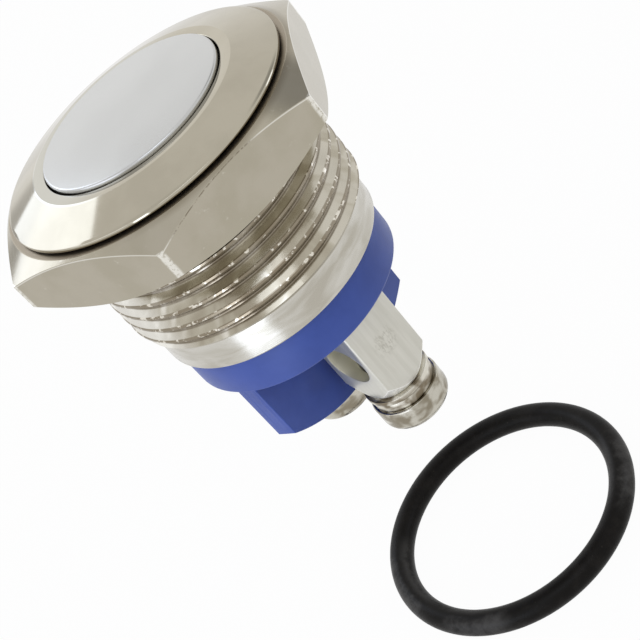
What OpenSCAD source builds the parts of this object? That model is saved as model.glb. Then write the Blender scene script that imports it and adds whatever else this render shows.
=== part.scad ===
// Panel push switch: turned metal housing, flat sprung button, moulded base with two screw terminals.
// Origin at the centre of the flange's underside, where the panel lies. +Z points out of the button's face.

/* [Head] */
// How far the flange reaches past the thread
flange_over = 1.05; // [0.8:0.05:3]
// Height of the flange over the panel
flange_h = 1.05; // [0.8:0.05:2]
// Height of the plain rim under the cone
rim_h = 0.24; // [0.1:0.02:0.5]
// Width of the flat lip round the button
lip_w = 0.55; // [0.2:0.05:1]

/* [Button] */
// Width of the housing's shoulder that stops the button
shoulder_w = 0.8; // [0.7:0.05:1.2]
// How far the face stands over the lip
button_proud = 0.25; // [0:0.05:1]
// Bevel round the face
button_edge = 0.25; // [0.1:0.05:0.5]
// How far the button travels
travel = 1.8; // [1:0.1:2.2]
// Thickness of the wall over the spring
cap_wall = 1.9; // [1.2:0.1:2]
// Depth of the plain skirt under the lip
skirt_depth = 2.2; // [2:0.1:3]
// How far the stop flange reaches past the skirt
stop_reach = 0.6; // [0.3:0.05:0.65]
// Thickness of the stop flange
stop_t = 0.7; // [0.5:0.05:1]
// Clearance round the button in its bore
button_gap = 0.1; // [0.05:0.01:0.15]

/* [Barrel] */
// Diameter over the thread's crests
thread_d = 15.9; // [15.6:0.05:16]
// Length of the thread below the flange
thread_len = 9.7; // [8.5:0.1:12]
// Pitch of the thread
thread_pitch = 1; // [0.75:0.25:1.5]
// Depth of the thread
thread_depth = 0.5; // [0.3:0.05:0.6]
// How far the plain collar lies under the thread's crests
collar_step = 0.53; // [0.5:0.01:0.7]
// Length of the plain collar
collar_len = 2.1; // [1.5:0.1:3]
// Wall of the barrel at its collar
barrel_wall = 0.82; // [0.6:0.02:1]

/* [Nut] */
// Wall of the nut over the thread, at its flats
nut_wall = 1.55; // [1.2:0.05:3]
// Thickness of the nut
nut_h = 3.35; // [2.5:0.05:4]
// Gap between the flange and the nut as stored
nut_gap = 0.3; // [0.1:0.05:1]
// Angle of one corner of the nut about the axis
nut_turn = 9.5; // [0:0.5:60]
// Clearance between the nut and the thread
nut_clear = 0.05; // [0.02:0.01:0.1]

/* [Base] */
// How far the base lies inside the collar
base_inset = 0.32; // [0:0.02:0.6]
// Thickness of the base behind the barrel
base_h = 2.65; // [2.2:0.05:3.5]
// Angle of the front terminal about the axis
terminal_turn = -68; // [-90:1:0]
// Angle across the barrier between the terminals
barrier_turn = -53; // [-90:1:0]
// Thickness of the barrier
barrier_t = 1.3; // [1:0.1:2]
// Height of the barrier where its arch is highest
barrier_h = 7.6; // [4:0.05:8]
// Radius of the barrier's arched end
barrier_arch = 14.4; // [9:0.1:30]
// How far the arch's highest place lies off the middle
barrier_shift = 2.5; // [0:0.1:4]
// Depth of the spigot inside the barrel
spigot_h = 2.6; // [2:0.1:3]
// Wall of the spigot
spigot_wall = 1.3; // [1:0.05:1.4]

/* [Terminals] */
// Distance of each terminal from the axis, as a part of the base's radius
terminal_place = 0.528; // [0.5:0.002:0.56]
// Side of the square terminal
terminal_w = 3.9; // [3:0.1:4.2]
// Length of the terminal below the base
terminal_len = 6.6; // [5.5:0.1:8]
// Diameter of the wire hole
wire_d = 2.9; // [2:0.1:3]
// Depth of the wire hole's centre below the base
wire_depth = 3.4; // [2.5:0.1:3.8]
// Height lost at the corners by the turned end
end_cut = 1; // [0.4:0.1:1.4]
// Diameter of the terminal's stem through the base
stem_d = 2.4; // [1.6:0.1:2.6]

/* [Screws] */
// Diameter of the screw
screw_d = 2.5; // [2:0.1:3]
// Diameter of the screw's head
screw_head_d = 4.6; // [4:0.1:5.2]
// Height of the screw's head
screw_head_h = 1.8; // [1.2:0.1:2.2]
// How far the rear screw is stored backed out
rear_out = 1; // [0:0.1:1.2]
// Diameter of the flat washer
flat_washer_d = 4.4; // [4:0.1:5]
// Thickness of the flat washer
flat_washer_t = 0.4; // [0.3:0.05:0.6]
// Diameter of the split washer
split_washer_d = 4.2; // [3.6:0.1:4.8]
// Thickness of the split washer
split_washer_t = 0.65; // [0.4:0.05:0.9]

/* [Contacts] */
// Gap left between the closed contacts at full travel
contact_gap = 0.05; // [0.02:0.01:0.2]
// Thickness of the contact bridge
bridge_t = 0.4; // [0.3:0.05:0.6]
// Height of each contact button
tip_h = 0.3; // [0.2:0.05:0.4]
// Diameter of each contact button
tip_d = 1.7; // [1.2:0.1:2]
// Clearance round the bridge inside the base's spigot
bridge_gap = 0.5; // [0.3:0.05:0.8]
// Diameter of the plunger in its guide
plunger_d = 3; // [2.4:0.1:3.4]
// Diameter of the plunger's neck
neck_d = 1.8; // [1.4:0.1:2]

/* [Panel seal] */
// Stretch of the panel seal's hole over the barrel
seal_ease = 0.82; // [0.4:0.02:1]
// Thickness of the panel seal
seal_t = 1.72; // [1.2:0.02:2]
// Distance from the panel to the seal, drawn off over the terminals
seal_drop = 39; // [34:0.5:50]
// How far the loose seal lies off the axis
seal_side = 1.23; // [0:0.01:1.5]

/* [Hidden] */

// Facets of a full turn, and the small running clearances
fine = 96;
small = 40;
run_gap = 0.05;
snug = 0.03;
eps = 0.01;

// Levels along the axis, from the flange down
button_top_z = flange_h + button_proud;
shoulder_z = -skirt_depth;
stop_z = shoulder_z - stop_t;
thread_end_z = -thread_len;
barrel_end_z = -thread_len - collar_len;
base_top_z = barrel_end_z - run_gap;
base_end_z = base_top_z - base_h;
cap_under_z = button_top_z - cap_wall;
spigot_top_z = base_top_z + spigot_h;
carrier_top_z = stop_z - travel - 0.3;
seat_z = carrier_top_z - 2.3;
guide_t = 1;
guide_end_z = seat_z - guide_t;

// Diameters that follow the thread
flange_d = thread_d + 2 * flange_over;
collar_d = thread_d - 2 * collar_step;
barrel_bore = collar_d - 2 * barrel_wall;
button_d = barrel_bore - 2 * shoulder_w;
nut_af = thread_d + 2 * nut_wall;
base_d = collar_d - 2 * base_inset;
terminal_reach = terminal_place * base_d / 2;
seal_d = thread_d + seal_t - seal_ease;

// Radii of the housing and of what it guides
flange_r = flange_d / 2;
lip_r = button_d / 2 + button_gap;
stop_r = button_d / 2 + stop_reach;
bore_r = barrel_bore / 2;
fill_r = bore_r - run_gap;

// Return spring, between the cap and its seat in the carrier
spring_wire = 0.6;
spring_mean_r = 0.57 * button_d / 2;
spring_turns = 5;
boss_r = plunger_d / 2 + 0.6;
well_r = spring_mean_r + spring_wire / 2 + 0.35;

// Contacts, counted down from the plunger's shoulder at rest
shoulder_drop = 0.3;
plunger_end_z = guide_end_z - shoulder_drop;
contact_spring_h = 1.1;
bridge_top_z = plunger_end_z - contact_spring_h;
bridge_end_z = bridge_top_z - bridge_t;
clip_t = 0.35;
clip_end_z = bridge_end_z - clip_t - 2 * snug;
neck_end_z = clip_end_z - 0.4;
tip_z = bridge_end_z - tip_h;
fixed_tip_z = tip_z - travel - contact_gap;
floor_z = fixed_tip_z - tip_h;
neck_well_z = neck_end_z - travel - 0.25;

// Terminal and screw levels
terminal_end_z = base_end_z - terminal_len;
wire_z = base_end_z - wire_depth;
wire_r = wire_d / 2;
tapped_d = screw_d + 2 * run_gap;
screw_tip_z = wire_z - wire_r - 0.2;
flat_top_z = terminal_end_z;
split_top_z = flat_top_z - flat_washer_t;
head_top_z = split_top_z - split_washer_t;
head_end_z = head_top_z - screw_head_h;
barrier_end_z = base_end_z - barrier_h;

// Ring section of a seal round the Z axis
module seal_ring(mean_r, section_r, z) {
  translate([0, 0, z])
    rotate_extrude($fn = fine)
      translate([mean_r, 0])
        circle(r = section_r, $fn = 24);
}

// Plain tube between two levels
module tube(outer_r, inner_r, top_z, end_z, sides = small) {
  translate([0, 0, end_z])
    difference() {
      cylinder(r = outer_r, h = top_z - end_z, $fn = sides);
      translate([0, 0, -1])
        cylinder(r = inner_r, h = top_z - end_z + 2, $fn = sides);
    }
}

// Solid disc between two levels
module disc(r, top_z, end_z, sides = small) {
  translate([0, 0, end_z])
    cylinder(r = r, h = top_z - end_z, $fn = sides);
}

// Puts what is drawn at the front terminal's place, and turns it half way round for the rear one
module at_terminal(rear) {
  rotate([0, 0, terminal_turn + (rear ? 180 : 0)])
    translate([terminal_reach, 0, 0])
      children();
}

// The same for a screw and its washers, of which the rear set is backed out
module at_screw(rear) {
  translate([0, 0, rear ? -rear_out : 0])
    at_terminal(rear)
      children();
}

// Points of one coil of wire, ring by ring
coil_steps = 20;
coil_sides = 8;
function coil_point(mean_r, wire_r, z0, rise, turns, i, j) =
  let (a = 360 * turns * i / (coil_steps * turns),
       b = 360 * j / coil_sides,
       r = mean_r + wire_r * cos(b))
  [r * cos(a), r * sin(a), z0 + rise * i / (coil_steps * turns) + wire_r * sin(b)];

module coil_spring(mean_r, wire_r, z0, rise, turns) {
  rings = coil_steps * turns;
  points = [for (i = [0 : rings], j = [0 : coil_sides - 1])
    coil_point(mean_r, wire_r, z0, rise, turns, i, j)];
  sides = [for (i = [0 : rings - 1], j = [0 : coil_sides - 1])
    [i * coil_sides + j, (i + 1) * coil_sides + j,
     (i + 1) * coil_sides + (j + 1) % coil_sides, i * coil_sides + (j + 1) % coil_sides]];
  ends = [[for (j = [0 : coil_sides - 1]) j],
          [for (j = [coil_sides - 1 : -1 : 0]) rings * coil_sides + j]];
  polyhedron(points = points, faces = concat(sides, ends), convexity = 8);
}

// Outline of the thread, as rings between the flange and the collar
crest_w = thread_pitch / 8;
groove_w = (thread_pitch - 2 * crest_w) / 2;
crest_r = thread_d / 2;
thread_root_r = crest_r - thread_depth;
thread_rings = floor((thread_len - 0.8) / thread_pitch);
thread_start_z = -thread_len + 0.45 + thread_rings * thread_pitch;
thread_outline = [for (i = [0 : thread_rings - 1])
  let (z = thread_start_z - i * thread_pitch)
  each [[crest_r, z],
        [thread_root_r, z - groove_w],
        [thread_root_r, z - groove_w - crest_w],
        [crest_r, z - 2 * groove_w - crest_w]]];

// Flange, threaded barrel and collar, turned in one piece
module housing() {
  color([0.72, 0.71, 0.67])
    rotate_extrude($fn = fine)
      polygon(concat([[lip_r, flange_h],
                      [lip_r + lip_w, flange_h],
                      [flange_r - 0.17, rim_h + 0.04],
                      [flange_r, rim_h - 0.06],
                      [flange_r, 0],
                      [crest_r, 0]],
                     thread_outline,
                     [[crest_r, thread_end_z + 0.35],
                      [collar_d / 2, thread_end_z],
                      [collar_d / 2, barrel_end_z],
                      [bore_r, barrel_end_z],
                      [bore_r, shoulder_z],
                      [lip_r, shoulder_z]]));
}

// Flat cap with a bevelled edge, seal groove, stop flange, spring well and boss
groove_top_z = button_top_z - 1.25;
groove_h = 1.05;
button_seal_r = 0.43;
button_seal_mean = lip_r - snug - button_seal_r;
module button_cap() {
  color([0.83, 0.84, 0.84])
    difference() {
      rotate_extrude($fn = fine)
        polygon([[0, button_top_z],
                 [button_d / 2 - button_edge, button_top_z],
                 [button_d / 2, button_top_z - button_edge],
                 [button_d / 2, groove_top_z],
                 [button_seal_mean - button_seal_r - snug, groove_top_z],
                 [button_seal_mean - button_seal_r - snug, groove_top_z - groove_h],
                 [button_d / 2, groove_top_z - groove_h],
                 [button_d / 2, shoulder_z - snug],
                 [stop_r, shoulder_z - snug],
                 [stop_r, stop_z],
                 [well_r, stop_z],
                 [well_r, cap_under_z],
                 [boss_r, cap_under_z],
                 [boss_r, stop_z],
                 [0, stop_z]]);
      translate([0, 0, stop_z - 1])
        cylinder(r = neck_d / 2, h = 3, $fn = small);
    }
}

// Seal in the cap's groove, wiping the bore
module button_seal() {
  color([0.1, 0.1, 0.1])
    seal_ring(button_seal_mean, button_seal_r, groove_top_z - groove_h / 2);
}

// Moulded plunger: a pin in the cap's boss, a guided stem and a neck for the bridge
module plunger() {
  pin_top_z = stop_z + 1.8;
  color([0.93, 0.92, 0.88])
    union() {
      disc(neck_d / 2 - snug, pin_top_z, stop_z);
      disc(plunger_d / 2, stop_z, plunger_end_z);
      disc(neck_d / 2 - snug, plunger_end_z, clip_end_z + clip_t + snug);
      disc(neck_d / 2 - 0.25, clip_end_z + clip_t + snug, clip_end_z - snug);
      disc(neck_d / 2 - snug, clip_end_z - snug, neck_end_z);
    }
}

// Spring that lifts the button again
module return_spring() {
  gap = 0.05;
  low_z = seat_z + spring_wire / 2 + gap;
  high_z = cap_under_z - spring_wire / 2 - gap;
  color([0.75, 0.75, 0.74])
    coil_spring(spring_mean_r, spring_wire / 2, low_z, high_z - low_z, spring_turns);
}

// Spring that presses the bridge against its clip
contact_wire = 0.22;
module contact_spring() {
  gap = 0.02;
  low_z = bridge_top_z + contact_wire / 2 + gap;
  high_z = plunger_end_z - contact_wire / 2 - gap;
  mean_r = neck_d / 2 + contact_wire / 2 + 0.06;
  color([0.75, 0.75, 0.74])
    coil_spring(mean_r, contact_wire / 2, low_z, high_z - low_z, 3);
}

// Strip that joins the two fixed contacts when the button is pressed
module contact_bridge() {
  bridge_w = 2.6;
  bridge_r = fill_r - spigot_wall - bridge_gap;
  color([0.85, 0.66, 0.35])
    difference() {
      rotate([0, 0, terminal_turn])
        union() {
          intersection() {
            disc(bridge_r, bridge_top_z, bridge_end_z, fine);
            translate([-bridge_r, -bridge_w / 2, bridge_end_z])
              cube([2 * bridge_r, bridge_w, bridge_t]);
          }
          for (side = [-1, 1])
            translate([side * terminal_reach, 0, 0])
              disc(tip_d / 2, bridge_end_z + eps, tip_z);
        }
      disc(neck_d / 2 + snug, bridge_top_z + 1, bridge_end_z - 1);
    }
}

// Open clip in the neck's groove, under the bridge
module bridge_clip() {
  inner_r = neck_d / 2 - 0.25 + snug;
  outer_r = neck_d / 2 + 0.5;
  top_z = clip_end_z + clip_t;
  color([0.6, 0.6, 0.6])
    rotate([0, 0, terminal_turn + 90])
      difference() {
        tube(outer_r, inner_r, top_z, clip_end_z);
        translate([0, -inner_r, clip_end_z - 1])
          cube([outer_r + 1, 2 * inner_r, clip_t + 2]);
      }
}

// Insulating sleeve: seat of the return spring and guide of the plunger
module contact_carrier() {
  color([0.9, 0.89, 0.85])
    rotate_extrude($fn = fine)
      polygon([[well_r, carrier_top_z],
               [fill_r, carrier_top_z],
               [fill_r, spigot_top_z],
               [fill_r - spigot_wall, spigot_top_z],
               [fill_r - spigot_wall, guide_end_z],
               [plunger_d / 2 + run_gap, guide_end_z],
               [plunger_d / 2 + run_gap, seat_z],
               [well_r, seat_z]]);
}

// Seal between the spigot and the barrel
base_seal_r = 0.4;
base_groove_h = 1;
base_groove_z = base_top_z + 0.8;
module base_seal() {
  color([0.1, 0.1, 0.1])
    seal_ring(bore_r - snug - base_seal_r, base_seal_r, base_groove_z + base_groove_h / 2);
}

// Moulded base: spigot with its groove, disc, stem holes and the arched barrier
module terminal_base() {
  base_r = base_d / 2;
  groove_r = bore_r - 2 * snug - 2 * base_seal_r;
  color([0.25, 0.33, 0.66])
    difference() {
      union() {
        rotate_extrude($fn = fine)
          polygon([[0, floor_z],
                   [fill_r - spigot_wall, floor_z],
                   [fill_r - spigot_wall, spigot_top_z],
                   [fill_r, spigot_top_z],
                   [fill_r, base_groove_z + base_groove_h],
                   [groove_r, base_groove_z + base_groove_h],
                   [groove_r, base_groove_z],
                   [fill_r, base_groove_z],
                   [fill_r, base_top_z],
                   [base_r, base_top_z],
                   [base_r, base_end_z],
                   [0, base_end_z]]);
        barrier(base_r);
      }
      disc(neck_d / 2 + 0.6, floor_z + 1, neck_well_z);
      for (rear = [false, true])
        at_terminal(rear)
          disc(stem_d / 2 + snug, floor_z + 1, base_end_z - 1);
    }
}

// Wall between the terminals, as wide as the base, with an arch along its end
module barrier(base_r) {
  intersection() {
    disc(base_r, base_end_z + 0.5, barrier_end_z - 1, fine);
    rotate([0, 0, barrier_turn])
      translate([-barrier_t / 2, -base_r - 1, barrier_end_z - 1])
        cube([barrier_t, 2 * base_r + 2, barrier_h + 1.5]);
    rotate([0, 0, barrier_turn])
      translate([0, barrier_shift, barrier_end_z + barrier_arch])
        rotate([0, 90, 0])
          cylinder(r = barrier_arch, h = 2 * base_r, center = true, $fn = 160);
  }
}

// Square terminal with a turned end, a wire hole across it, a tapped hole and a stem
module terminal(rear) {
  corner_r = terminal_w / 2 * sqrt(2);
  flat_r = terminal_w / 2;
  color([0.8, 0.8, 0.76])
    at_terminal(rear)
      difference() {
        union() {
          disc(stem_d / 2, floor_z, base_end_z - eps);
          intersection() {
            translate([-flat_r, -flat_r, terminal_end_z])
              cube([terminal_w, terminal_w, terminal_len]);
            rotate_extrude($fn = fine)
              polygon([[0, terminal_end_z],
                       [flat_r - 0.1, terminal_end_z],
                       [corner_r + 0.1, terminal_end_z + end_cut + 0.4],
                       [corner_r + 0.1, base_end_z + 1],
                       [0, base_end_z + 1]]);
          }
        }
        translate([0, 0, wire_z])
          rotate([90, 0, 0])
            cylinder(r = wire_r, h = terminal_w + 2, center = true, $fn = small);
        disc(tapped_d / 2, wire_z, terminal_end_z - 1);
      }
}

module terminal_front() {
  terminal(false);
}

module terminal_rear() {
  terminal(true);
}

// Silver contact on the end of each terminal's stem
module fixed_contact(rear) {
  color([0.86, 0.86, 0.84])
    at_terminal(rear)
      disc(tip_d / 2, fixed_tip_z, floor_z);
}

module fixed_contact_front() {
  fixed_contact(false);
}

module fixed_contact_rear() {
  fixed_contact(true);
}

// Pan head screw with a cross recess in its head
module terminal_screw(rear) {
  shank_r = screw_d / 2;
  head_r = screw_head_d / 2;
  recess_w = 0.6;
  recess_l = 2.6;
  recess_depth = 0.9;
  color([0.78, 0.77, 0.73])
    at_screw(rear)
      difference() {
        union() {
          disc(shank_r, screw_tip_z, head_top_z - eps);
          rotate_extrude($fn = small)
            polygon([[0, head_top_z],
                     [head_r, head_top_z],
                     [head_r, head_end_z + 0.7],
                     [head_r - 0.25, head_end_z + 0.25],
                     [head_r - 0.8, head_end_z],
                     [0, head_end_z]]);
        }
        for (turn = [0, 90])
          rotate([0, 0, turn + 20])
            translate([-recess_l / 2, -recess_w / 2, head_end_z - 1])
              cube([recess_l, recess_w, recess_depth + 1]);
      }
}

module terminal_screw_front() {
  terminal_screw(false);
}

module terminal_screw_rear() {
  terminal_screw(true);
}

// Spring washer with its slanted split
module split_washer(rear) {
  color([0.5, 0.48, 0.44])
    at_screw(rear)
      difference() {
        tube(split_washer_d / 2, screw_d / 2 + run_gap, split_top_z, head_top_z);
        translate([0, 0, (split_top_z + head_top_z) / 2])
          rotate([0, 0, 150])
            rotate([35, 0, 0])
              translate([0, -0.1, -2])
                cube([split_washer_d, 0.2, 4]);
      }
}

module split_washer_front() {
  split_washer(false);
}

module split_washer_rear() {
  split_washer(true);
}

// Plain washer between the terminal and the split washer
module flat_washer(rear) {
  color([0.7, 0.69, 0.66])
    at_screw(rear)
      tube(flat_washer_d / 2, screw_d / 2 + run_gap, flat_top_z, split_top_z);
}

module flat_washer_front() {
  flat_washer(false);
}

module flat_washer_rear() {
  flat_washer(true);
}

// Hexagon nut, turned off to 30 degrees at both ends
module mounting_nut() {
  corner_r = nut_af / sqrt(3);
  face_r = nut_af / 2 - 0.15;
  drop = (corner_r - face_r) * tan(30);
  bore = thread_d / 2 + nut_clear;
  top_z = -nut_gap;
  end_z = top_z - nut_h;
  color([0.7, 0.68, 0.63])
    difference() {
      intersection() {
        rotate([0, 0, nut_turn])
          translate([0, 0, end_z])
            cylinder(r = corner_r, h = nut_h, $fn = 6);
        rotate_extrude($fn = fine)
          polygon([[0, top_z],
                   [face_r, top_z],
                   [corner_r + 0.01, top_z - drop],
                   [corner_r + 0.01, end_z + drop],
                   [face_r, end_z],
                   [0, end_z]]);
      }
      disc(bore, top_z + 1, end_z - 1, fine);
    }
}

// Sealing ring that goes under the flange, shown drawn off and lying loose
module panel_seal() {
  color([0.09, 0.09, 0.09])
    translate([seal_side, 0, 0])
      seal_ring(seal_d / 2, seal_t / 2, -seal_drop);
}

housing();
button_cap();
button_seal();
plunger();
return_spring();
contact_spring();
contact_bridge();
bridge_clip();
contact_carrier();
base_seal();
terminal_base();
terminal_front();
terminal_rear();
fixed_contact_front();
fixed_contact_rear();
terminal_screw_front();
terminal_screw_rear();
split_washer_front();
split_washer_rear();
flat_washer_front();
flat_washer_rear();
mounting_nut();
panel_seal();
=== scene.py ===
import math

import bpy
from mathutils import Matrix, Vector


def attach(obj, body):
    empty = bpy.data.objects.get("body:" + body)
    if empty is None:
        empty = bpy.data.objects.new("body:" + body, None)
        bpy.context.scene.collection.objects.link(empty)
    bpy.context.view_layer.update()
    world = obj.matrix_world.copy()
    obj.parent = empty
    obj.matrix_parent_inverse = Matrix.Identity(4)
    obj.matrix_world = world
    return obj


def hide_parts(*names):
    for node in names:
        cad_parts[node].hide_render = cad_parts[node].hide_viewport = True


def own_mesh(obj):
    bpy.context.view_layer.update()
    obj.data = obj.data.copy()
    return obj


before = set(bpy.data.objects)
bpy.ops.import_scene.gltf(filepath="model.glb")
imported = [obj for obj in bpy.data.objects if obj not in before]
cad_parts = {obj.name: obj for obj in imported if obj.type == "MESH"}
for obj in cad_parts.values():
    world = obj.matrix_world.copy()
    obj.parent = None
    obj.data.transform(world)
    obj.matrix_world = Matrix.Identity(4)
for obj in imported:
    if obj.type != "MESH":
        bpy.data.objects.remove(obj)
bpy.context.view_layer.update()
print("frame loaded")

# Pieces are modelled in millimetres and brought to metres when they are finished. The return spring, the
# lamps and the camera are in metres from the start.
origin = (0, 0, 0)
mergeWithin = 0.0005


# Plain modelling helpers

def deselectAll():
    if bpy.context.object and bpy.context.object.mode != "OBJECT":
        bpy.ops.object.mode_set(mode="OBJECT")
    bpy.ops.object.select_all(action="DESELECT")


def pick(obj):
    deselectAll()
    obj.select_set(True)
    bpy.context.view_layer.objects.active = obj
    return obj


def named(name):
    obj = bpy.context.object
    obj.name = name
    obj.data.name = name
    return obj


def place(obj, turn=0, shift=(0, 0, 0)):
    # moves a fresh piece, turns it about the push axis and keeps the result in its mesh
    pick(obj)
    obj.location = shift
    bpy.ops.object.transform_apply(location=True, rotation=True, scale=True)
    obj.rotation_euler = (0, 0, math.radians(turn))
    bpy.ops.object.transform_apply(location=True, rotation=True, scale=True)
    return obj


def turnedPiece(name, profile, steps):
    # one vertex is pulled along the profile in the XZ plane, then spun round the Z axis
    deselectAll()
    bpy.ops.mesh.primitive_plane_add(size=1)
    obj = named(name)
    bpy.ops.object.mode_set(mode="EDIT")
    bpy.ops.mesh.select_mode(type="VERT")
    bpy.ops.mesh.select_all(action="SELECT")
    bpy.ops.mesh.merge(type="CENTER")
    bpy.ops.transform.translate(value=(profile[0][0], 0, profile[0][1]))
    onAxis = profile[0][0] == 0 and profile[-1][0] == 0
    path = list(profile) if onAxis else list(profile) + [profile[0]]
    for before, after in zip(path, path[1:]):
        pull = (after[0] - before[0], 0, after[1] - before[1])
        bpy.ops.mesh.extrude_region_move(TRANSFORM_OT_translate={"value": pull})
    bpy.ops.mesh.select_all(action="SELECT")
    bpy.ops.mesh.spin(steps=steps, angle=2 * math.pi, center=origin, axis=(0, 0, 1))
    bpy.ops.mesh.select_all(action="SELECT")
    bpy.ops.mesh.remove_doubles(threshold=mergeWithin)
    bpy.ops.mesh.normals_make_consistent(inside=False)
    bpy.ops.object.mode_set(mode="OBJECT")
    return obj


def roundedProfile(points, steps=4):
    # points are (radius, height) or (radius, height, fillet); each fillet becomes a short arc
    result = []
    for i, point in enumerate(points):
        here = Vector(point[:2])
        if len(point) < 3:
            result.append(tuple(here))
            continue
        before = (Vector(points[i - 1][:2]) - here).normalized()
        after = (Vector(points[(i + 1) % len(points)][:2]) - here).normalized()
        half = before.angle(after) / 2
        reach = point[2] / math.tan(half)
        middle = here + (before + after).normalized() * (point[2] / math.sin(half))
        start = here + before * reach - middle
        end = here + after * reach - middle
        sweep = start.angle_signed(end)
        for k in range(steps + 1):
            angle = -sweep * k / steps
            spin = Vector((start.x * math.cos(angle) - start.y * math.sin(angle),
                           start.x * math.sin(angle) + start.y * math.cos(angle)))
            result.append(tuple(middle + spin))
    return result


def modify(obj, kind, **settings):
    pick(obj)
    modifier = obj.modifiers.new(kind.title(), kind)
    for key, value in settings.items():
        setattr(modifier, key, value)
    bpy.ops.object.modifier_apply(modifier=modifier.name)
    return obj


def combine(obj, tool, operation):
    # cuts, joins or keeps what both share; the tool is used up
    modify(obj, "BOOLEAN", object=tool, operation=operation, solver="EXACT")
    bpy.data.objects.remove(tool)
    return obj


def softenEdges(obj, width, segments, angle):
    return modify(obj, "BEVEL", width=width, segments=segments, limit_method="ANGLE",
                  angle_limit=math.radians(angle), harden_normals=False)


def selectWhere(obj, test, kind="VERT"):
    # selects in edit mode the vertices, or the edges by their two ends, that the test accepts
    pick(obj)
    bpy.ops.object.mode_set(mode="EDIT")
    bpy.ops.mesh.select_all(action="DESELECT")
    bpy.ops.mesh.select_mode(type=kind)
    bpy.ops.object.mode_set(mode="OBJECT")
    mesh = obj.data
    if kind == "EDGE":
        for edge in mesh.edges:
            a, b = (mesh.vertices[i].co for i in edge.vertices)
            edge.select = test(a, b)
    else:
        for vertex in mesh.vertices:
            vertex.select = test(vertex.co)
    bpy.ops.object.mode_set(mode="EDIT")


def joinPieces(obj, *others):
    pick(obj)
    for other in others:
        other.select_set(True)
    bpy.ops.object.join()
    return obj


def copyOf(obj, name):
    pick(obj)
    bpy.ops.object.duplicate()
    return named(name)


def finishPiece(obj, body, slot, replaces, angle):
    # brings a piece to metres, smooths it below the angle, and gives it its finish, body and place
    pick(obj)
    obj.scale = (0.001, 0.001, 0.001)
    bpy.ops.object.transform_apply(location=True, rotation=True, scale=True)
    bpy.ops.object.shade_smooth_by_angle(angle=math.radians(angle))
    obj.data.materials.clear()
    obj.data.materials.append(finishes[slot])
    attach(obj, body)
    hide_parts(replaces)
    deselectAll()
    print("made", obj.name, len(obj.data.polygons), "faces")
    return obj


# Shader maths as plain expressions

class Value:
    def __init__(self, finish, socket):
        self.finish = finish
        self.socket = socket

    def maths(self, operation, first, second=0.0):
        return self.finish.node("ShaderNodeMath", {"operation": operation}, {0: first, 1: second})

    def __add__(self, other):
        return self.maths("ADD", self, other)

    def __radd__(self, other):
        return self.maths("ADD", other, self)

    def __sub__(self, other):
        return self.maths("SUBTRACT", self, other)

    def __rsub__(self, other):
        return self.maths("SUBTRACT", other, self)

    def __mul__(self, other):
        return self.maths("MULTIPLY", self, other)

    def __truediv__(self, other):
        return self.maths("DIVIDE", self, other)

    def __pow__(self, other):
        return self.maths("POWER", self, other)

    def wave(self):
        return self.maths("SINE", self)

    def smooth(self, low, high):
        # 0 below low, 1 above high
        return self.finish.node("ShaderNodeMapRange", {"interpolation_type": "SMOOTHSTEP"},
                                {"Value": self, "From Min": low, "From Max": high})


class Shading:
    def __init__(self, tree):
        self.tree = tree

    def node(self, kind, settings=None, inputs=None, output=0):
        node = self.tree.nodes.new(kind)
        for key, value in (settings or {}).items():
            if key == "stops":
                ramp = node.color_ramp
                while len(ramp.elements) < len(value):
                    ramp.elements.new(0.5)
                for element, (position, colour) in zip(ramp.elements, value):
                    element.position = position
                    element.color = colour + (1.0,)
            else:
                setattr(node, key, value)
        for key, value in (inputs or {}).items():
            if isinstance(value, Value):
                self.tree.links.new(value.socket, node.inputs[key])
            else:
                node.inputs[key].default_value = value
        return Value(self, node.outputs[output])

    def split(self, vector):
        node = self.tree.nodes.new("ShaderNodeSeparateXYZ")
        self.tree.links.new(vector.socket, node.inputs[0])
        return [Value(self, output) for output in node.outputs]

    def fill(self, socket, value):
        if isinstance(value, Value):
            self.tree.links.new(value.socket, socket)
        elif isinstance(value, tuple):
            socket.default_value = value + (1.0,)
        else:
            socket.default_value = value

    def seenOrReflected(self):
        # 1 where a surface is seen by the camera, in a reflection or through glass
        names = ("Is Camera Ray", "Is Glossy Ray", "Is Transmission Ray")
        seen, glossy, through = [self.node("ShaderNodeLightPath", {}, {}, name) for name in names]
        return seen.maths("MAXIMUM", seen.maths("MAXIMUM", seen, glossy), through)


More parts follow.
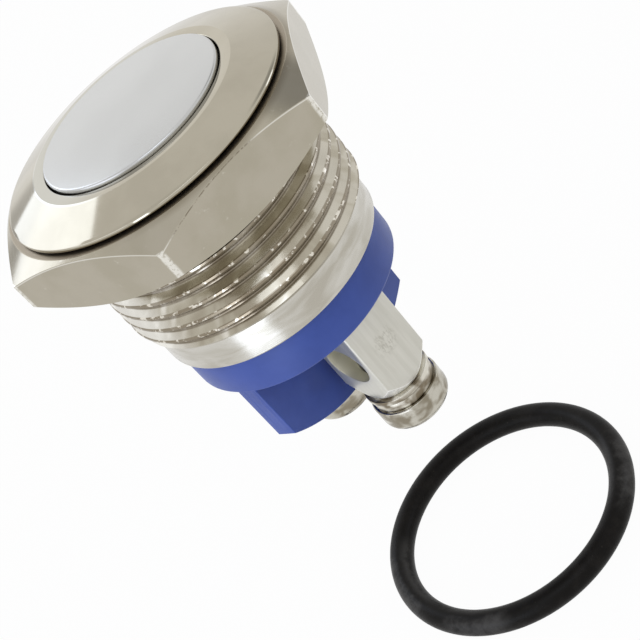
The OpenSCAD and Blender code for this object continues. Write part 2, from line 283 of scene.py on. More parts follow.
class Finish(Shading):
    def __init__(self, name, **settings):
        self.material = bpy.data.materials.new(name)
        self.material.use_nodes = True
        super().__init__(self.material.node_tree)
        self.shader = self.tree.nodes["Principled BSDF"]
        for key, value in settings.items():
            self.shader.inputs[key].default_value = value
        # the object's own coordinates, in millimetres
        metres = self.node("ShaderNodeTexCoord", {}, {}, "Object")
        self.spot = self.node("ShaderNodeVectorMath", {"operation": "SCALE"},
                              {0: metres, "Scale": 1000.0})

    def mapped(self, turn=0, size=(1, 1, 1), shift=(0, 0, 0)):
        return self.node("ShaderNodeMapping", {},
                         {"Vector": self.spot, "Rotation": (0, 0, math.radians(turn)), "Scale": size,
                          "Location": shift})

    def noise(self, scale, detail=3.0, rough=0.5, vector=None, distortion=0.0):
        return self.node("ShaderNodeTexNoise", {},
                         {"Vector": vector or self.spot, "Scale": scale, "Detail": detail,
                          "Roughness": rough, "Distortion": distortion})

    def blendColours(self, amount, first, second):
        node = self.tree.nodes.new("ShaderNodeMix")
        node.data_type = "RGBA"
        self.fill(node.inputs[0], amount)
        self.fill(node.inputs[6], first)
        self.fill(node.inputs[7], second)
        return Value(self, node.outputs[2])

    def wear(self, key, value):
        self.fill(self.shader.inputs[key], value)

    def bump(self, height, strength, distance=0.00002):
        relief = self.node("ShaderNodeBump", {},
                           {"Height": height, "Strength": strength, "Distance": distance})
        self.fill(self.shader.inputs["Normal"], relief)

    def radius(self):
        x, y, z = self.split(self.spot)
        return (x * x + y * y) ** 0.5


# Finishes

def housingMetal():
    # nickel plate: a slow change of tone and fine grain, with painted shade in the thread roots and along the
    # crests, bright crest specks, painted reflections and painted window light on the barrel, a painted
    # highlight round the button, painted shade under the flange, and a paler collar
    finish = Finish("housingNickel", Metallic=1.0)
    cloud = finish.noise(0.35, 3.0, 0.55)
    speck = finish.noise(6.0, 4.0, 0.6)
    tone = finish.blendColours(cloud.smooth(0.35, 0.65), (0.41, 0.376, 0.3), (0.44, 0.405, 0.325))
    x, y, z = finish.split(finish.spot)
    radius = finish.radius()
    barrel = z.smooth(-0.2, -0.4) * z.smooth(-9.62, -9.45)
    # painted reflections: long blotches across the turns, some light and some brown, stronger on the window
    # side
    acrossTurns = finish.mapped(20, (1.0, 1.0, 0.35), (0.4, 0.0, 0.0))
    paintedReflections = finish.noise(0.55, 2.0, 0.5, acrossTurns, 0.6)
    strong = 0.35 + x.smooth(4.0, -4.0) * 0.55
    tone = finish.blendColours(barrel * paintedReflections.smooth(0.48, 0.64) * strong, tone, (0.74, 0.71, 0.64))
    tone = finish.blendColours(barrel * paintedReflections.smooth(0.5, 0.34) * strong * 0.7, tone, (0.27, 0.23, 0.17))
    # a painted shade stripe in brown runs along the crests, and bright specks break it
    crestSpecks = finish.noise(2.3, 3.0, 0.6).smooth(0.55, 0.63)
    crest = radius.smooth(7.88, 7.92) * barrel
    tone = finish.blendColours(crest * (1.0 - crestSpecks) * 0.65, tone, (0.17, 0.135, 0.09))
    tone = finish.blendColours(crest * crestSpecks * 0.75, tone, (0.9, 0.86, 0.77))
    # painted shade in the thread roots, uneven with the grain
    root = radius.smooth(7.62, 7.56) * barrel
    tone = finish.blendColours(root * (0.45 + speck * 0.45), tone, (0.12, 0.09, 0.06))
    # painted light: the side turned to the window is painted nearly white between the roots
    paintedWindowLight = x.smooth(-5.4, -7.2) * (1.0 - root) * (1.0 - crest)
    tone = finish.blendColours(barrel * paintedWindowLight * 0.6, tone, (0.93, 0.92, 0.88))
    # painted highlight on the raised ring round the button, brighter towards one side
    paintedLipHighlight = z.smooth(0.97, 1.02) * radius.smooth(6.75, 6.65)
    tone = finish.blendColours(paintedLipHighlight * (y - x).smooth(-3.0, 4.0) * 0.85, tone, (0.52, 0.51, 0.46))
    # painted shade in brown on the flange's underside, in the gap over the nut
    under = z.smooth(0.03, -0.02) * radius.smooth(7.9, 8.1)
    tone = finish.blendColours(under, tone, (0.26, 0.2, 0.135))
    collar = z.smooth(-9.6, -9.8)
    streaks = finish.noise(0.5, 3.0, 0.5, finish.mapped(0, (0.6, 0.6, 2.4)), 0.5)
    plate = finish.blendColours(streaks.smooth(0.32, 0.68), (0.44, 0.415, 0.355), (0.58, 0.56, 0.51))
    tone = finish.blendColours(collar, tone, plate)
    finish.wear("Base Color", tone)
    rough = 0.08 + collar * 0.14 + barrel * 0.06 + under * 0.25
    finish.wear("Roughness", rough + (cloud - 0.5) * 0.04 + (speck - 0.5) * 0.03)
    # turning marks: rings on the cone, fine lines round the collar, and a rough barrel
    marks = (radius * 60.0 * (1.0 - collar) + z * 55.0 * collar + cloud * 4.0).wave()
    dents = finish.noise(1.6, 4.0, 0.6) * barrel * 1.2
    finish.bump(speck * 0.25 * 0.3 + marks * 0.03 + marks * collar * 0.15 + dents, 0.1)
    return finish.material


def nutMetal():
    # nickel plate with painted highlights on the corners, and a fine line under the chamfer's curve, painted
    # as a highlight with painted shade on the near side
    finish = Finish("nutNickel", Metallic=1.0)
    cloud = finish.noise(0.35, 3.0, 0.55)
    speck = finish.noise(6.0, 4.0, 0.6)
    x, y, z = finish.split(finish.spot)
    radius = finish.radius()
    tone = finish.blendColours(cloud.smooth(0.35, 0.65), (0.395, 0.362, 0.285), (0.43, 0.395, 0.32))
    fromChamfer = z - (nut["top"] - (radius - nut["faceR"]) * math.tan(math.radians(nut["chamfer"])))
    # the fine line under the chamfer's curve: painted shade in flecks towards darkArc, a painted highlight
    # elsewhere
    line = fromChamfer.smooth(-0.13, -0.08) * fromChamfer.smooth(-0.02, -0.05)
    a = math.radians(nut["darkArc"])
    toArc = (x * math.cos(a) + y * math.sin(a)) / radius
    highlitSide = 1.0 - toArc.smooth(0.93, 0.97)
    tone = finish.blendColours(line * (1.0 - highlitSide) * speck.smooth(0.35, 0.6) * 0.8, tone, (0.16, 0.13, 0.09))
    tone = finish.blendColours(line * highlitSide * 0.8, tone, (0.72, 0.7, 0.64))
    # painted reflection of the flange's underside: the chamfer darkens to brown towards the flange, less on
    # the window side
    paintedFlangeReflection = radius.smooth(9.8, 9.32) * fromChamfer.smooth(-0.03, -0.01) * z.smooth(-1.6, -1.4)
    tone = finish.blendColours(paintedFlangeReflection * x.smooth(-7.0, -1.0) * 0.55, tone, (0.2, 0.165, 0.115))
    # painted highlights in flecks along the hex corners
    corner = radius.smooth(10.82, 10.9)
    tone = finish.blendColours(corner * speck.smooth(0.3, 0.55) * 0.9, tone, (0.8, 0.78, 0.72))
    pit = finish.noise(2.2, 5.0, 0.7).smooth(0.62, 0.72)
    tone = finish.blendColours(pit * 0.45, tone, (0.56, 0.53, 0.46))
    shade = z.smooth(nut["top"] - 0.03, nut["top"] - 0.01) * radius.smooth(9.34, 9.28)
    tone = finish.blendColours(shade, tone, (0.31, 0.265, 0.2))
    finish.wear("Base Color", tone)
    finish.wear("Roughness", 0.13 + (cloud - 0.5) * 0.04 + (speck - 0.5) * 0.03 + shade * 0.25)
    finish.bump(speck * 0.25 + cloud * 2.0 + pit * 0.4, 0.1)
    return finish.material


def satinMetal():
    # the button's face: fine grain, hardly any direction
    finish = Finish("buttonSatin", Metallic=1.0)
    grain = finish.noise(22.0, 4.0, 0.6)
    cloud = finish.noise(0.22, 2.0)
    tone = finish.blendColours(cloud.smooth(0.3, 0.7), (0.505, 0.505, 0.495), (0.53, 0.53, 0.52))
    finish.wear("Base Color", tone)
    finish.wear("Roughness", 0.22 + grain * 0.06)
    finish.bump(grain, 0.15, 0.00001)
    return finish.material


def terminalMetal(turn):
    # silver plate with drawn streaks along the posts and small scuffs, turned to the posts' faces
    finish = Finish("terminalSilver", Metallic=0.62)
    streaks = finish.noise(1.0, 3.0, 0.55, finish.mapped(-turn, (2.6, 2.6, 0.22)))
    scuffs = finish.noise(1.6, 5.0, 0.65)
    scratches = finish.noise(1.0, 4.0, 0.7, finish.mapped(-turn, (6.0, 6.0, 2.4)))
    x, y, z = finish.split(finish.mapped(-turn))
    across = (x * x) ** 0.5 - postSpot["reach"]
    up = z - post["wireZ"]
    tone = finish.blendColours(streaks.smooth(0.3, 0.72), (0.63, 0.61, 0.535), (0.7, 0.68, 0.605))
    # a scuffed place in the middle of each outer face
    place = up - 0.3
    middle = (y * y + place * place) ** 0.5
    rubbed = middle.smooth(1.1, 0.5) * across.smooth(1.5, 1.8) * scratches.smooth(0.48, 0.6)
    tone = finish.blendColours(rubbed * 0.4 + scuffs.smooth(0.64, 0.76) * 0.15, tone, (0.33, 0.3, 0.23))
    # the turned chamfer at the end is cut bright
    fromPost = (across * across + y * y) ** 0.5
    half = post["wide"] / 2
    slope = (half * math.sqrt(2) + 0.2 - half) / (post["cut"] + 0.4)
    cone = fromPost - (half - 0.1) - (z - post["end"]) * slope
    tone = finish.blendColours(cone.smooth(-0.06, -0.02), tone, (0.9, 0.885, 0.83))
    # the wire hole's wall is duller and olive
    fromAxis = (across * across + up * up) ** 0.5
    wall = fromAxis.smooth(post["wireR"] + 0.06, post["wireR"] + 0.01)
    tone = finish.blendColours(wall, tone, (0.7, 0.67, 0.53))
    finish.wear("Base Color", tone)
    finish.wear("Roughness", 0.32 + streaks * 0.12)
    finish.bump(scuffs * 0.15 + streaks * 0.4 - rubbed * 0.5, 0.06)
    return finish.material


def screwMetal(name, bright, dark, rough, dents=1.2):
    # plated small parts: patches of tone and soft dents that break up what they reflect
    finish = Finish(name, Metallic=1.0)
    cloud = finish.noise(1.1, 4.0, 0.6)
    patch = finish.noise(0.9, 2.0, 0.5, finish.mapped(30, (1.0, 1.0, 1.4), (3.0, 1.0, 0.0)), 0.4)
    speck = finish.noise(7.0, 3.0, 0.6)
    finish.wear("Base Color", finish.blendColours(patch.smooth(0.36, 0.62), bright, dark))
    finish.wear("Roughness", rough + cloud * 0.1)
    finish.bump(speck * 0.3 + cloud * dents, 0.25)
    return finish.material


def mouldedPlastic(name, light, deep, rough, gloss=0.5):
    # fine pores and a slow change of tone
    finish = Finish(name, **{"Specular IOR Level": gloss})
    cloud = finish.noise(0.5, 3.0)
    pores = finish.noise(9.0, 3.0, 0.6)
    finish.wear("Base Color", finish.blendColours(cloud.smooth(0.3, 0.7), deep, light))
    finish.wear("Roughness", rough + pores * 0.12)
    finish.bump(pores, 0.3)
    return finish.material


def sealRubber():
    # black rubber with thin painted grey highlights along some stretches, and dust specks
    finish = Finish("sealRubber", **{"Specular IOR Level": 0.1})
    cloud = finish.noise(0.9, 4.0, 0.65)
    dust = finish.noise(6.0, 5.0, 0.7)
    tone = finish.blendColours(cloud.smooth(0.42, 0.7), (0.006, 0.005, 0.004), (0.013, 0.011, 0.009))
    # painted highlights lie on three stretches of the ring, in streaks that follow it
    x, y, z = finish.split(finish.spot)
    x = x - seal["side"]
    radius = (x * x + y * y) ** 0.5
    streaks = (radius * 5.0 + z * 4.0 + cloud * 5.0).wave() * 0.5 + 0.5
    for azimuth, wide in seal["paintedSheen"]:
        a = math.radians(azimuth)
        near = (x * math.cos(a) + y * math.sin(a)) / radius
        patch = near.smooth(math.cos(math.radians(wide)), math.cos(math.radians(wide * 0.4)))
        tone = finish.blendColours(patch * streaks * cloud * 1.2, tone, (0.085, 0.08, 0.074))
    tone = finish.blendColours(dust.smooth(0.66, 0.74) * 0.7, tone, (0.16, 0.14, 0.11))
    finish.wear("Base Color", tone)
    finish.wear("Roughness", 0.3 + dust * 0.16)
    finish.bump(dust + cloud * 0.6, 0.3, 0.00003)
    return finish.material


# Sizes that the finishes need too

postSpot = {"turn": -68, "reach": 3.75, "rearOut": 1.0}
post = {"wide": 3.9, "top": -14.5, "end": -21.1, "cut": 1.0, "wireR": 1.45, "wireZ": -17.9, "tappedR": 1.3,
        "stemR": 1.2, "stemTop": -12.55, "edge": 0.13, "rim": 0.07}
seal = {"ringR": 8.4, "wireR": 0.86, "side": 1.23, "height": -39.0, "nickReach": 0.32,
        # nicks: (azimuth, depth), paintedSheen: (azimuth, half angle) of each painted highlight
        "nicks": [(62, 0.05), (-118, 0.04), (20, 0.03)], "paintedSheen": [(170, 30), (-138, 20), (-32, 26)]}
nut = {"acrossFlats": 19.0, "height": 3.5, "top": -0.15, "turn": 9.5, "bore": 8.0, "lead": 0.45,
       "faceR": 9.35, "chamfer": 30, "edge": 0.05, "darkArc": -88}

finishes = {
    "housing_metal": housingMetal(),
    "nut_metal": nutMetal(),
    "button_metal": satinMetal(),
    "terminal_metal": terminalMetal(postSpot["turn"]),
    "screw_metal": screwMetal("screwNickel", (0.52, 0.495, 0.43), (0.25, 0.22, 0.165), 0.15, dents=7.0),
    "washer_metal": screwMetal("washerNickel", (0.66, 0.63, 0.55), (0.2, 0.165, 0.115), 0.3, dents=4.0),
    "base_plastic": mouldedPlastic("baseBlue", (0.056, 0.104, 0.41), (0.046, 0.088, 0.36), 0.36, gloss=0.35),
    "insulator_plastic": mouldedPlastic("insulatorIvory", (0.78, 0.76, 0.7), (0.7, 0.68, 0.61), 0.45),
    "spring_steel": screwMetal("springSteel", (0.58, 0.57, 0.55), (0.42, 0.41, 0.39), 0.24),
    "contact_brass": screwMetal("contactBrass", (0.75, 0.55, 0.26), (0.62, 0.43, 0.18), 0.28),
    "contact_silver": screwMetal("contactSilver", (0.8, 0.79, 0.76), (0.66, 0.65, 0.61), 0.3),
    "seal_rubber": sealRubber(),
}
print("finishes made")


# The housing: flange with its cone, threaded barrel and collar

housing = {"flangeR": 9.0, "rimTop": 0.22, "lipIn": 5.9, "lipOut": 6.6, "top": 1.05, "coneEnd": (8.84, 0.29),
           "rootR": 7.54, "threadEnd": -9.7, "collarR": 7.42, "end": -11.8, "boreR": 6.6, "shoulder": -2.2}
thread = {"crestR": 7.95, "pitch": 1.0, "turns": 11, "stepsPerTurn": 110, "foot": 0.49, "tip": 0.05,
          "coreR": 7.0, "start": -0.05, "startR": 7.45, "fullFrom": -0.55}


def makeThread():
    # one closed section is wound up the barrel, then trimmed by a blank with chamfered ends
    deselectAll()
    bpy.ops.mesh.primitive_plane_add(size=1, rotation=(math.pi / 2, 0, 0))
    rib = named("threadRib")
    bpy.ops.object.transform_apply(rotation=True)
    h, t = housing, thread
    foot, tip = t["foot"] * t["pitch"], t["tip"] * t["pitch"]
    corners = {(-1, -1): (h["rootR"] - 0.03, -foot), (-1, 1): (h["rootR"] - 0.03, foot),
               (1, -1): (t["crestR"] + 0.02, -tip), (1, 1): (t["crestR"] + 0.02, tip)}
    for (sideX, sideZ), (radius, height) in corners.items():
        # corners moved already lie further out than 1
        selectWhere(rib, lambda co: (co.x > 0) == (sideX > 0) and (co.z > 0) == (sideZ > 0) and abs(co.x) < 1)
        spot = Vector((0.5 * sideX, 0, 0.5 * sideZ))
        bpy.ops.transform.translate(value=Vector((radius, 0, height)) - spot)
        bpy.ops.object.mode_set(mode="OBJECT")
    place(rib, 0, (0, 0, h["threadEnd"] - 0.6))
    steps = t["stepsPerTurn"] * t["turns"]
    modify(rib, "SCREW", angle=2 * math.pi * t["turns"], screw_offset=t["pitch"] * t["turns"], steps=steps,
           render_steps=steps, axis="Z", use_merge_vertices=False)
    pick(rib)
    bpy.ops.object.mode_set(mode="EDIT")
    bpy.ops.mesh.select_all(action="SELECT")
    bpy.ops.mesh.remove_doubles(threshold=mergeWithin)
    bpy.ops.mesh.fill_holes(sides=8)
    bpy.ops.mesh.select_all(action="SELECT")
    bpy.ops.mesh.normals_make_consistent(inside=False)
    bpy.ops.object.mode_set(mode="OBJECT")
    blank = turnedPiece("threadBlank", [
        (t["coreR"], t["start"]), (t["startR"], t["start"]), (t["crestR"], t["fullFrom"]),
        (t["crestR"], h["threadEnd"] + 0.4), (h["rootR"] - 0.02, h["threadEnd"] - 0.02),
        (t["coreR"], h["threadEnd"] - 0.02)], 220)
    return combine(rib, blank, "INTERSECT")


def makeHousing():
    h = housing
    body = turnedPiece("turnedHousing", roundedProfile([
        (h["lipIn"], h["top"], 0.07), (h["lipOut"], h["top"], 0.05), (*h["coneEnd"], 0.03),
        (h["flangeR"], h["rimTop"], 0.05), (h["flangeR"], 0.0, 0.06), (h["rootR"], 0.0),
        (h["rootR"], h["threadEnd"] - 0.05), (h["collarR"], h["threadEnd"] - 0.11),
        (h["collarR"], h["end"], 0.12), (h["boreR"], h["end"], 0.1), (h["boreR"], h["shoulder"]),
        (h["lipIn"], h["shoulder"])]), 220)
    joinPieces(body, makeThread())
    finishPiece(body, "root", "housing_metal", "housing", 28)


makeHousing()


# The hexagon nut

def makeNut():
    n = nut
    cornerR = n["acrossFlats"] / math.sqrt(3)
    middle = n["top"] - n["height"] / 2
    bottom = n["top"] - n["height"]
    drop = (cornerR - n["faceR"]) * math.tan(math.radians(n["chamfer"]))
    deselectAll()
    bpy.ops.mesh.primitive_cylinder_add(vertices=6, radius=cornerR, depth=n["height"],
                                        location=(0, 0, middle),
                                        rotation=(0, 0, math.radians(n["turn"] - 30)))
    obj = named("hexNut")
    bpy.ops.object.transform_apply(location=True, rotation=True, scale=True)
    blank = turnedPiece("nutBlank", [
        (0, n["top"]), (n["faceR"], n["top"]), (cornerR + 0.02, n["top"] - drop),
        (cornerR + 0.02, bottom + drop), (n["faceR"], bottom), (0, bottom)], 240)
    combine(obj, blank, "INTERSECT")
    leadR = n["bore"] + n["lead"]
    hole = turnedPiece("nutHole", [
        (0, 1), (leadR + 1.35, 1), (leadR, n["top"]), (n["bore"], n["top"] - n["lead"]),
        (n["bore"], bottom + n["lead"]), (leadR, bottom), (n["bore"] + 1.45, bottom - 1),
        (0, bottom - 1)], 220)
    combine(obj, hole, "DIFFERENCE")
    # only the round edges of the flat faces stay crisp, being flatter than the angle given
    softenEdges(obj, n["edge"], 2, 32)
    finishPiece(obj, "nut", "nut_metal", "mounting_nut", 20)


makeNut()


# The button

button = {"radius": 5.8, "top": 1.3, "edge": 0.13, "grooveTop": 0.05, "grooveEnd": -1.0, "grooveR": 4.98,
          "shoulder": -2.23, "stopR": 6.4, "stop": -2.9, "wellR": 3.95, "under": -0.6, "bossR": 2.1,
          "pinR": 0.9, "pinDeep": 2}


def makeButton():
    b = button
    obj = turnedPiece("pushButton", roundedProfile([
        (0, b["top"]), (b["radius"], b["top"], b["edge"]), (b["radius"], b["grooveTop"]),
        (b["grooveR"], b["grooveTop"]), (b["grooveR"], b["grooveEnd"]), (b["radius"], b["grooveEnd"]),
        (b["radius"], b["shoulder"]), (b["stopR"], b["shoulder"], 0.1), (b["stopR"], b["stop"], 0.1),
        (b["wellR"], b["stop"]), (b["wellR"], b["under"]), (b["bossR"], b["under"]), (b["bossR"], b["stop"]),
        (b["pinR"], b["stop"]), (b["pinR"], b["stop"] + b["pinDeep"]), (0, b["stop"] + b["pinDeep"])]), 200)
    finishPiece(obj, "button", "button_metal", "button_cap", 25)


makeButton()


# The moulded base and its barrier

base = {"radius": 7.1, "top": -11.85, "end": -14.5, "turn": -53, "thick": 1.3, "peak": -22.1, "arch": 14.4,
        "shift": 2.5, "spigotR": 6.55, "spigotWall": 1.3, "spigotTop": -9.25, "floor": -12.55, "stemR": 1.23,
        "grooveR": 5.74, "grooveTop": -10.05, "grooveEnd": -11.05, "wellR": 1.5, "wellEnd": -13.03,
        "edge": 0.14}


def makeBase():
    b = base
    inner = b["spigotR"] - b["spigotWall"]
    obj = turnedPiece("mouldedBase", roundedProfile([
        (0, b["floor"]), (inner, b["floor"]), (inner, b["spigotTop"]), (b["spigotR"], b["spigotTop"]),
        (b["spigotR"], b["grooveTop"]), (b["grooveR"], b["grooveTop"]), (b["grooveR"], b["grooveEnd"]),
        (b["spigotR"], b["grooveEnd"]), (b["spigotR"], b["top"]), (b["radius"], b["top"], 0.08),
        (b["radius"], b["end"], 0.22), (0, b["end"])]), 200)
    deselectAll()
    long = 2 * b["radius"] + 2
    deep = b["end"] - b["peak"] + 0.5
    bpy.ops.mesh.primitive_cube_add(size=1, location=(0, 0, b["peak"] + deep / 2))
    wall = named("barrierWall")
    wall.scale = (b["thick"], long, deep)
    bpy.ops.object.transform_apply(location=True, rotation=True, scale=True)
    bpy.ops.mesh.primitive_cylinder_add(vertices=256, radius=b["arch"], depth=20,
                                        rotation=(0, math.pi / 2, 0),
                                        location=(0, b["shift"], b["peak"] + b["arch"]))
    arch = named("barrierArch")
    bpy.ops.object.transform_apply(location=True, rotation=True, scale=True)
    combine(wall, arch, "INTERSECT")
    place(wall, b["turn"])
    rim = turnedPiece("barrierRim", [
        (0, b["end"] + 0.6), (b["radius"] - 0.02, b["end"] + 0.6), (b["radius"] - 0.02, b["peak"] - 1),
        (0, b["peak"] - 1)], 200)
    combine(wall, rim, "INTERSECT")
    softenEdges(wall, b["edge"], 3, 35)
    combine(obj, wall, "UNION")
    well = turnedPiece("neckWell", [
        (0, b["floor"] + 1), (b["wellR"], b["floor"] + 1), (b["wellR"], b["wellEnd"]), (0, b["wellEnd"])], 64)
    combine(obj, well, "DIFFERENCE")
    for side in (1, -1):
        deselectAll()
        bpy.ops.mesh.primitive_cylinder_add(vertices=64, radius=b["stemR"], depth=6,
                                            location=(side * postSpot["reach"], 0, b["end"]))
        hole = place(named("stemHole"), postSpot["turn"], tuple(bpy.context.object.location))
        combine(obj, hole, "DIFFERENCE")
    finishPiece(obj, "root", "base_plastic", "terminal_base", 35)


makeBase()


# The terminal posts, alike at both places

def makePosts():
    p = post
    half = p["wide"] / 2
    corner = half * math.sqrt(2)
    deselectAll()
    bpy.ops.mesh.primitive_cube_add(size=1, location=(0, 0, (p["top"] + p["end"]) / 2))
    obj = named("terminalPost")
    obj.scale = (p["wide"], p["wide"], p["top"] - p["end"])
    bpy.ops.object.transform_apply(location=True, rotation=True, scale=True)
    selectWhere(obj, lambda a, b: abs(a.z - b.z) > 1, "EDGE")
    bpy.ops.mesh.bevel(offset=p["edge"], segments=3)
    bpy.ops.object.mode_set(mode="OBJECT")
    blank = turnedPiece("postBlank", [
        (0, p["top"] + 1), (corner + 1, p["top"] + 1), (corner + 0.1, p["end"] + p["cut"] + 0.4),
        (half - 0.1, p["end"]), (0, p["end"])], 180)
    combine(obj, blank, "INTERSECT")
    deselectAll()
    bpy.ops.mesh.primitive_cylinder_add(vertices=96, radius=p["wireR"], depth=p["wide"] + 2,
                                        location=(0, 0, p["wireZ"]), rotation=(math.pi / 2, 0, 0))
    wireHole = named("wireHole")
    bpy.ops.object.transform_apply(location=True, rotation=True, scale=True)
    combine(obj, wireHole, "DIFFERENCE")
    softenEdges(obj, p["rim"], 2, 24)
    tapped = turnedPiece("tappedHole", [
        (0, p["wireZ"]), (p["tappedR"], p["wireZ"]), (p["tappedR"], p["end"] - 1), (0, p["end"] - 1)], 64)
    combine(obj, tapped, "DIFFERENCE")
    stem = turnedPiece("stem", [
        (0, p["stemTop"]), (p["stemR"], p["stemTop"]), (p["stemR"], p["top"] - 0.3), (0, p["top"] - 0.3)], 64)
    combine(obj, stem, "UNION")
    rear = copyOf(obj, "terminalPostRear")
    obj.name = "terminalPostFront"
    for one, node, turn in ((obj, "terminal_front", 0), (rear, "terminal_rear", 180)):
        place(one, postSpot["turn"] + turn, (postSpot["reach"], 0, 0))
        finishPiece(one, "root", "terminal_metal", node, 26)


makePosts()


# Screws with their washers, alike at both places

screw = {"shankR": 1.22, "tip": -19.55, "headR": 2.3, "top": -22.15, "end": -23.95, "dome": 0.62,
         "recessWide": 0.62, "recessLong": 2.7, "recessDeep": 0.95, "recessTurn": 20, "pitch": 0.45,
         "ridge": 0.2, "edge": 0.04}
washers = {"flatR": 2.2, "flatTop": -21.1, "springTop": -21.5, "springR": 2.1, "holeR": 1.32, "gap": 0.26,
           "gapLean": 35, "gapTurn": 150}


def makeScrew():
    s = screw
    ridges = []
    z = s["tip"] - 0.3
    while z > s["top"] + 0.5:
        ridges += [(s["shankR"], z), (s["shankR"] - s["ridge"], z - 0.22)]
        z -= s["pitch"]
    obj = turnedPiece("clampScrew", roundedProfile([
        (0, s["tip"]), (s["shankR"] - 0.3, s["tip"])] + ridges + [
        (s["shankR"] - 0.05, s["top"]), (s["headR"], s["top"], 0.12), (s["headR"], s["end"], s["dome"]),
        (0, s["end"])], 6), 120)
    for turn in (0, 90):
        deselectAll()
        bpy.ops.mesh.primitive_cube_add(size=1, location=(0, 0, s["end"]))
        slot = named("recess")
        slot.scale = (s["recessLong"], s["recessWide"], 2 * s["recessDeep"])
        bpy.ops.object.transform_apply(location=True, rotation=True, scale=True)
        # the recess narrows towards its floor
        selectWhere(slot, lambda co: co.z > s["end"])
        bpy.ops.transform.resize(value=(0.55, 0.7, 1), center_override=(0, 0, s["end"]))
        bpy.ops.object.mode_set(mode="OBJECT")
        place(slot, turn + s["recessTurn"])
        combine(obj, slot, "DIFFERENCE")
    return softenEdges(obj, s["edge"], 2, 50)


def makeWashers():
    w = washers
    flat = turnedPiece("flatWasher", roundedProfile([
        (w["holeR"], w["flatTop"]), (w["flatR"], w["flatTop"], 0.05), (w["flatR"], w["springTop"], 0.12),
        (w["holeR"], w["springTop"])]), 120)
    spring = turnedPiece("springWasher", roundedProfile([
        (w["holeR"], w["springTop"]), (w["springR"], w["springTop"], 0.1), (w["springR"], screw["top"], 0.1),
        (w["holeR"], screw["top"])]), 120)
    deselectAll()
    bpy.ops.mesh.primitive_cube_add(size=1, rotation=(math.radians(w["gapLean"]), 0, 0))
    gap = named("springGap")
    gap.scale = (w["springR"] * 1.2, w["gap"], 3)
    bpy.ops.object.transform_apply(location=True, rotation=True, scale=True)
    place(gap, 0, (w["springR"] * 0.8, 0, (w["springTop"] + screw["top"]) / 2))
    place(gap, w["gapTurn"])
    combine(spring, gap, "DIFFERENCE")
    return flat, spring


def makeFasteners():
    flat, spring = makeWashers()
    fronts = {"clampScrew": makeScrew(), "flatWasher": flat, "springWasher": spring}
    nodes = {"clampScrew": ("terminal_screw", "screw_metal"), "flatWasher": ("flat_washer", "washer_metal"),
             "springWasher": ("split_washer", "washer_metal")}
    for name, obj in fronts.items():
        node, slot = nodes[name]
        rear = copyOf(obj, name + "Rear")
        obj.name = name + "Front"
        for one, side, turn, out in ((obj, "front", 0, 0), (rear, "rear", 180, -postSpot["rearOut"])):
            place(one, postSpot["turn"] + turn, (postSpot["reach"], 0, out))
            finishPiece(one, side + "_screw", slot, node + "_" + side, 30)


makeFasteners()


# The panel seal, drawn off over the terminals

def makeSeal():
    s = seal
    deselectAll()
    bpy.ops.mesh.primitive_torus_add(location=(s["side"], 0, s["height"]), major_segments=220,
                                     minor_segments=40, major_radius=s["ringR"],
                                     minor_radius=s["wireR"] - 0.005)
    obj = named("panelSeal")
    bpy.ops.object.transform_apply(location=True, rotation=True, scale=True)
    for angle, depth in s["nicks"]:
        side = Vector((math.cos(math.radians(angle)), math.sin(math.radians(angle)), 0))
        nick = side * (s["ringR"] + s["wireR"]) + Vector((s["side"], 0, s["height"]))
        selectWhere(obj, lambda co: (co - nick).length < s["nickReach"])
        bpy.ops.transform.translate(value=-side * depth)
        bpy.ops.object.mode_set(mode="OBJECT")
    finishPiece(obj, "root", "seal_rubber", "panel_seal", 60)


makeSeal()


# The return spring (it shortens from its seat as the button goes down), kept in its CAD shape with a finish

coil = {"travel": 0.0018, "ease": 0.00002, "mergeWithin": 0.0000005}


def makeReturnSpring():
    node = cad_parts["return_spring"]
    deselectAll()
    obj = bpy.data.objects.new("returnCoil", node.data.copy())
    bpy.context.scene.collection.objects.link(obj)
    obj.matrix_world = node.matrix_world
    pick(obj)
    bpy.ops.object.transform_apply(location=True, rotation=True, scale=True)
    bpy.ops.object.mode_set(mode="EDIT")
    bpy.ops.mesh.select_all(action="SELECT")
    bpy.ops.mesh.remove_doubles(threshold=coil["mergeWithin"])
    bpy.ops.mesh.normals_make_consistent(inside=False)
    bpy.ops.object.mode_set(mode="OBJECT")
    bpy.ops.object.shade_smooth_by_angle(angle=math.radians(50))
    obj.data.materials.clear()
    obj.data.materials.append(finishes["spring_steel"])
    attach(obj, "root")
    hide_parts("return_spring")
    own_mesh(obj)


makeReturnSpring()


# The inner pieces keep their CAD shape and take a finish

inner = {"button_seal": "seal_rubber", "base_seal": "seal_rubber", "plunger": "insulator_plastic",
         "contact_carrier": "insulator_plastic", "contact_spring": "spring_steel",
         "bridge_clip": "spring_steel", "contact_bridge": "contact_brass",
         "fixed_contact_front": "contact_silver", "fixed_contact_rear": "contact_silver"}
for name, slot in inner.items():
    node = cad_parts[name]
    node.data.materials.clear()
    node.data.materials.append(finishes[slot])
print("inner pieces finished")


# Floor, light and camera

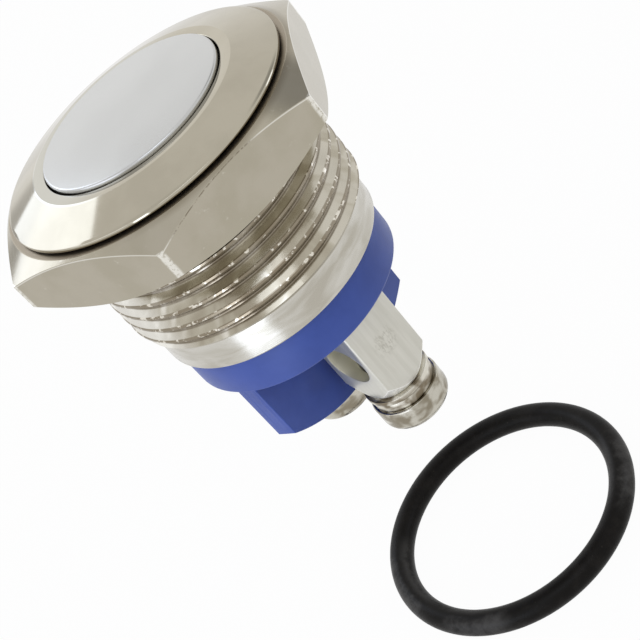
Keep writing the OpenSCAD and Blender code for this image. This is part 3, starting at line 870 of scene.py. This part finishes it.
studio = {"floorSize": 3.0, "floorHeight": -0.03987, "floorLight": 0.97, "worldLevel": 0.42,
          "middle": (0, 0, -0.011), "lampColour": (0.9, 1.0, 1.2),
          "panels": {
              # (azimuth, elevation, distance, width, height, brightness), seen from the switch's middle
              "backPanel": (118, 33, 0.25, 0.13, 0.152, 1.4),
              "leftPanel": (-165, 15, 0.3, 0.25, 0.2, 0.9),
              "topPanel": (-100, 60, 0.4, 0.2, 0.2, 1.1),
              "lowPanel": (-136, -31, 0.045, 0.022, 0.016, 1.25),
              "edgePanel": (-129, -13, 0.042, 0.008, 0.018, 2.6),
              "sidePanel": (-5, -10, 0.05, 0.012, 0.02, 1.5)},
          "reflections": {
              # softer places of the room that only metal shows:
              # (azimuth, elevation, inner spread, outer spread, change)
              "paleBack": (90, 17, 10, 26, 0.15),
              "dimLeft": (150, 76, 8, 24, -0.1),
              "dimRight": (31, 43, 6, 19, -0.54),
              "dimBack": (109, 14, 5, 13, -0.4)}}
cameraSet = {"place": (-0.00283, -0.07712, 0.03418), "turn": (48.575, 33.364, -28.236), "lens": 86.927}


def heading(azimuth, elevation):
    a, e = math.radians(azimuth), math.radians(elevation)
    return Vector((math.cos(e) * math.cos(a), math.cos(e) * math.sin(a), math.sin(e)))


def makeFloor():
    deselectAll()
    bpy.ops.mesh.primitive_plane_add(size=studio["floorSize"], location=(0, 0, studio["floorHeight"]))
    floor = named("studioFloor")
    bpy.ops.object.transform_apply(location=True)
    bpy.ops.object.mode_set(mode="EDIT")
    bpy.ops.mesh.subdivide(number_cuts=4)
    bpy.ops.object.mode_set(mode="OBJECT")
    # seen directly or in a reflection the floor is plain white, and it still shows a faint shadow
    finish = Finish("floorWhite", Roughness=0.9)
    finish.wear("Base Color", (0.9, 0.9, 0.9))
    glow = finish.node("ShaderNodeEmission")
    paint = Value(finish, finish.shader.outputs[0])
    lit = finish.seenOrReflected() * studio["floorLight"]
    mix = finish.node("ShaderNodeMixShader", {}, {0: lit, 1: paint, 2: glow})
    finish.fill(finish.tree.nodes["Material Output"].inputs["Surface"], mix)
    floor.data.materials.append(finish.material)


def makeWorld():
    world = bpy.data.worlds.new("studioWorld")
    bpy.context.scene.world = world
    world.use_nodes = True
    room = Shading(world.node_tree)
    direction = room.node("ShaderNodeTexCoord", {}, {}, "Generated")
    level = 1.0
    for azimuth, elevation, inner, outer, change in studio["reflections"].values():
        nearness = room.node("ShaderNodeVectorMath", {"operation": "DOT_PRODUCT"},
                             {0: direction, 1: heading(azimuth, elevation)}, "Value")
        outerCos, innerCos = math.cos(math.radians(outer)), math.cos(math.radians(inner))
        level = level + nearness.smooth(outerCos, innerCos) * change
    seen = room.seenOrReflected()
    camera = room.node("ShaderNodeLightPath", {}, {}, "Is Camera Ray")
    brightness = camera + (seen - camera) * level + (1.0 - seen) * studio["worldLevel"]
    background = world.node_tree.nodes["Background"]
    background.inputs["Color"].default_value = (1, 1, 1, 1)
    room.fill(background.inputs["Strength"], brightness)


def makePanels():
    target = Vector(studio["middle"])
    for name, (azimuth, elevation, distance, width, height, brightness) in studio["panels"].items():
        side = heading(azimuth, elevation)
        deselectAll()
        bpy.ops.object.light_add(type="AREA", location=target + side * distance)
        lamp = bpy.context.object
        lamp.name = name
        lamp.data.shape = "RECTANGLE"
        lamp.data.size = width
        lamp.data.size_y = height
        lamp.data.energy = brightness * math.pi * width * height
        lamp.data.color = studio["lampColour"]
        lamp.rotation_euler = side.to_track_quat("Z", "Y").to_euler()
        lamp.visible_camera = False


def makeCamera():
    deselectAll()
    bpy.ops.object.camera_add(location=cameraSet["place"],
                              rotation=[math.radians(angle) for angle in cameraSet["turn"]])
    camera = bpy.context.object
    camera.name = "photoCamera"
    camera.data.lens = cameraSet["lens"]
    camera.data.sensor_width = 36
    camera.data.clip_start = 0.001
    camera.data.clip_end = 20
    bpy.context.scene.camera = camera


makeFloor()
makeWorld()
makePanels()
makeCamera()
bpy.context.scene.view_settings.view_transform = "Standard"
deselectAll()
print("stage set")
